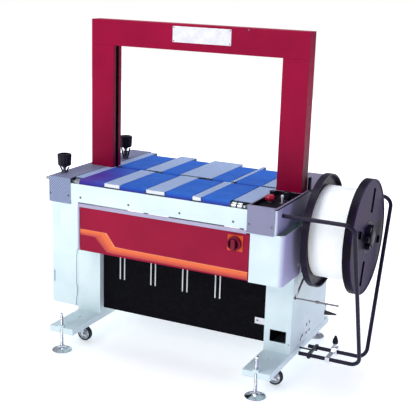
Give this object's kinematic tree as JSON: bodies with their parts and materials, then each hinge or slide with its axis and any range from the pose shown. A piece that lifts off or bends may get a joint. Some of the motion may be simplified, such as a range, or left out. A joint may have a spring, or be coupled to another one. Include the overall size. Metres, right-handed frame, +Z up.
{
  "type": "arch strapping machine",
  "caption": "Arch strapping machine on levelling feet: powered belt table under a rectangular strap arch, side control box, and a caged strap reel on the right end.",
  "frame": {"origin": "middle of the outline, on the floor under the levelling feet", "axes": "+X along the machine from the control box end to the reel end, +Y along the parcel travel away from the operator side, +Z up"},
  "size_m": [1.595, 0.8768, 1.549],
  "materials": {
    "white_coat": "satin",
    "crimson_coat": "satin",
    "red_coat": "gloss",
    "black_coat": "satin",
    "grey_steel": "brushed",
    "plate_steel": "brushed",
    "chrome": "polished",
    "zinc": "satin",
    "cast": "rough",
    "alu": "satin",
    "belt_blue": "matte",
    "belt_black": "matte",
    "tyre": "matte",
    "black_plastic": "gloss",
    "black_matte": "matte",
    "red_plastic": "gloss",
    "yellow_plastic": "satin",
    "strap_white": "satin",
    "grey_plastic": "matte"
  },
  "bodies": {
    "machine": {"leg_left": "white_coat", "leg_right": "white_coat", "table_frame": "black_coat", "arch_leg_left": "crimson_coat", "arch_leg_right": "crimson_coat", "arch_top_beam": "crimson_coat", "strap_track": "black_matte", "table_belts": "belt_blue", "slider_beds": "plate_steel", "head_cover": "plate_steel", "belt_drive": "cast", "drive_belt": "belt_black", "top_plates": "plate_steel", "corner_brackets": "grey_steel", "aprons": "white_coat", "trim_rail": "alu", "fasteners": "zinc", "left_housing": "white_coat", "red_panel": "red_coat", "right_housing": "white_coat", "end_cover_right": "white_coat", "rear_panel": "white_coat", "vented_panel": "black_coat", "pool_box": "white_coat", "control_box": "white_coat", "control_gear": "grey_plastic", "main_switch_plate": "yellow_plastic", "operator_panel": "black_coat", "head_frame": "cast", "head_motor": "cast", "reel_shaft": "chrome", "strap_run": "strap_white", "cage_tubes": "black_coat", "cage_clamps": "chrome"},
    "feet": {"levelling_feet": "chrome"},
    "fork_left": {"caster_fork_left": "zinc"},
    "fork_right": {"caster_fork_right": "zinc"},
    "wheel_left": {"caster_wheel_left": "tyre"},
    "wheel_right": {"caster_wheel_right": "tyre"},
    "b_roller_front_nose": {"roller_front_nose": "zinc"},
    "b_roller_front_mid": {"roller_front_mid": "zinc"},
    "b_roller_rear_mid": {"roller_rear_mid": "zinc"},
    "b_roller_rear_nose": {"roller_rear_nose": "zinc"},
    "b_motor_pulley": {"motor_pulley": "zinc"},
    "b_side_knob_front": {"side_knob_front": "black_plastic"},
    "b_side_knob_rear": {"side_knob_rear": "black_plastic"},
    "b_main_switch_knob": {"main_switch_knob": "red_plastic"},
    "b_stop_button": {"stop_button": "red_plastic"},
    "b_mode_toggle": {"mode_toggle": "chrome"},
    "b_tension_dial": {"tension_dial": "black_matte"},
    "b_press_platen": {"press_platen": "zinc"},
    "b_cam_shaft": {"cam_shaft": "zinc"},
    "b_feed_wheel": {"feed_wheel": "zinc"},
    "b_hand_nut": {"hand_nut": "black_matte"},
    "b_dancer_arm": {"dancer_arm": "black_matte"},
    "b_clamp_knob": {"clamp_knob": "black_matte"},
    "b_control_door": {"control_door": "white_coat"},
    "reel": {"reel_inner_flange": "black_plastic", "reel_outer_flange": "black_plastic", "strap_coil": "strap_white"}
  },
  "joints": [
    {"name": "feet_level", "type": "slide", "parent": "machine", "child": "feet", "axis": [0, 0, -1], "range_m": [0, 0.03]},
    {"name": "caster_left_swivel", "type": "hinge", "parent": "machine", "child": "fork_left", "pos_m": [-0.5845, -0.237, 0.06], "axis": [0, 0, 1], "continuous": true},
    {"name": "caster_right_swivel", "type": "hinge", "parent": "machine", "child": "fork_right", "pos_m": [0.4215, -0.237, 0.06], "axis": [0, 0, 1], "continuous": true},
    {"name": "caster_left_roll", "type": "hinge", "parent": "fork_left", "child": "wheel_left", "pos_m": [-0.5545, -0.237, 0.04], "axis": [0, 1, 0], "continuous": true},
    {"name": "caster_right_roll", "type": "hinge", "parent": "fork_right", "child": "wheel_right", "pos_m": [0.4515, -0.237, 0.04], "axis": [0, 1, 0], "continuous": true},
    {"name": "roller_front_mid_spin", "type": "hinge", "parent": "machine", "child": "b_roller_front_mid", "pos_m": [-0.0815, -0.057, 0.828], "axis": [1, 0, 0], "continuous": true},
    {"name": "roller_front_nose_spin", "type": "hinge", "parent": "machine", "child": "b_roller_front_nose", "pos_m": [-0.0815, -0.351, 0.828], "axis": [1, 0, 0], "continuous": true},
    {"name": "roller_rear_mid_spin", "type": "hinge", "parent": "machine", "child": "b_roller_rear_mid", "pos_m": [-0.0815, 0.007, 0.828], "axis": [1, 0, 0], "continuous": true},
    {"name": "roller_rear_nose_spin", "type": "hinge", "parent": "machine", "child": "b_roller_rear_nose", "pos_m": [-0.0815, 0.301, 0.828], "axis": [1, 0, 0], "continuous": true},
    {"name": "motor_pulley_spin", "type": "hinge", "parent": "machine", "child": "b_motor_pulley", "pos_m": [0.2785, 0.035, 0.7], "axis": [1, 0, 0], "continuous": true},
    {"name": "control_door_swing", "type": "hinge", "parent": "machine", "child": "b_control_door", "pos_m": [-0.6535, -0.159, 0.418], "axis": [0, 0, 1], "range_deg": [0, 105]},
    {"name": "main_switch_turn", "type": "hinge", "parent": "machine", "child": "b_main_switch_knob", "pos_m": [0.2895, -0.385, 0.672], "axis": [0, 1, 0], "range_deg": [0, 90]},
    {"name": "stop_press", "type": "slide", "parent": "machine", "child": "b_stop_button", "axis": [0, 0, -1], "range_m": [0, 0.005], "stiffness_N_per_m": 800, "springref_m": -0.001},
    {"name": "mode_toggle_tilt", "type": "hinge", "parent": "machine", "child": "b_mode_toggle", "pos_m": [0.4325, -0.215, 0.822], "axis": [1, 0, 0], "range_deg": [-12, 12]},
    {"name": "tension_dial_turn", "type": "hinge", "parent": "machine", "child": "b_tension_dial", "pos_m": [0.4255, -0.141, 0.84], "axis": [0, 0, 1], "range_deg": [0, 270]},
    {"name": "side_knob_front_turn", "type": "hinge", "parent": "machine", "child": "b_side_knob_front", "pos_m": [-0.6375, -0.28, 0.9], "axis": [0, 0, 1], "continuous": true},
    {"name": "side_knob_rear_turn", "type": "hinge", "parent": "machine", "child": "b_side_knob_rear", "pos_m": [-0.5675, 0.16, 0.93], "axis": [0, 0, 1], "continuous": true},
    {"name": "cam_turn", "type": "hinge", "parent": "machine", "child": "b_cam_shaft", "pos_m": [-0.1025, -0.025, 0.7], "axis": [0, 1, 0], "range_deg": [0, 170]},
    {"name": "platen_lift", "type": "slide", "parent": "machine", "child": "b_press_platen", "axis": [0, 0, 1], "range_m": [0, 0.008]},
    {"name": "feed_wheel_spin", "type": "hinge", "parent": "machine", "child": "b_feed_wheel", "pos_m": [0.0185, -0.025, 0.74], "axis": [0, 1, 0], "continuous": true},
    {"name": "reel_spin", "type": "hinge", "parent": "machine", "child": "reel", "pos_m": [0.6485, -0.025, 0.686], "axis": [1, 0, 0], "continuous": true},
    {"name": "hand_nut_turn", "type": "hinge", "parent": "reel", "child": "b_hand_nut", "pos_m": [0.7795, -0.025, 0.686], "axis": [1, 0, 0], "range_deg": [0, 720]},
    {"name": "dancer_swing", "type": "hinge", "parent": "machine", "child": "b_dancer_arm", "pos_m": [0.5155, -0.087, 0.494], "axis": [1, 0, 0], "range_deg": [-25, 15], "stiffness_Nm_per_rad": 6, "springref_deg": -2.86, "deforming": ["strap_run"]},
    {"name": "clamp_knob_turn", "type": "hinge", "parent": "machine", "child": "b_clamp_knob", "pos_m": [0.6405, 0.025, 0.15], "axis": [0, 0, 1], "continuous": true}
  ],
  "couplings": [
    {"joint": "roller_front_nose_spin", "follows": "roller_front_mid_spin", "ratio": 1},
    {"joint": "roller_rear_mid_spin", "follows": "roller_front_mid_spin", "ratio": 1},
    {"joint": "roller_rear_nose_spin", "follows": "roller_front_mid_spin", "ratio": 1},
    {"joint": "motor_pulley_spin", "follows": "roller_front_mid_spin", "ratio": 0.63636},
    {"joint": "cam_turn", "follows": "platen_lift", "rad_per_m": 370.85}
  ]
}
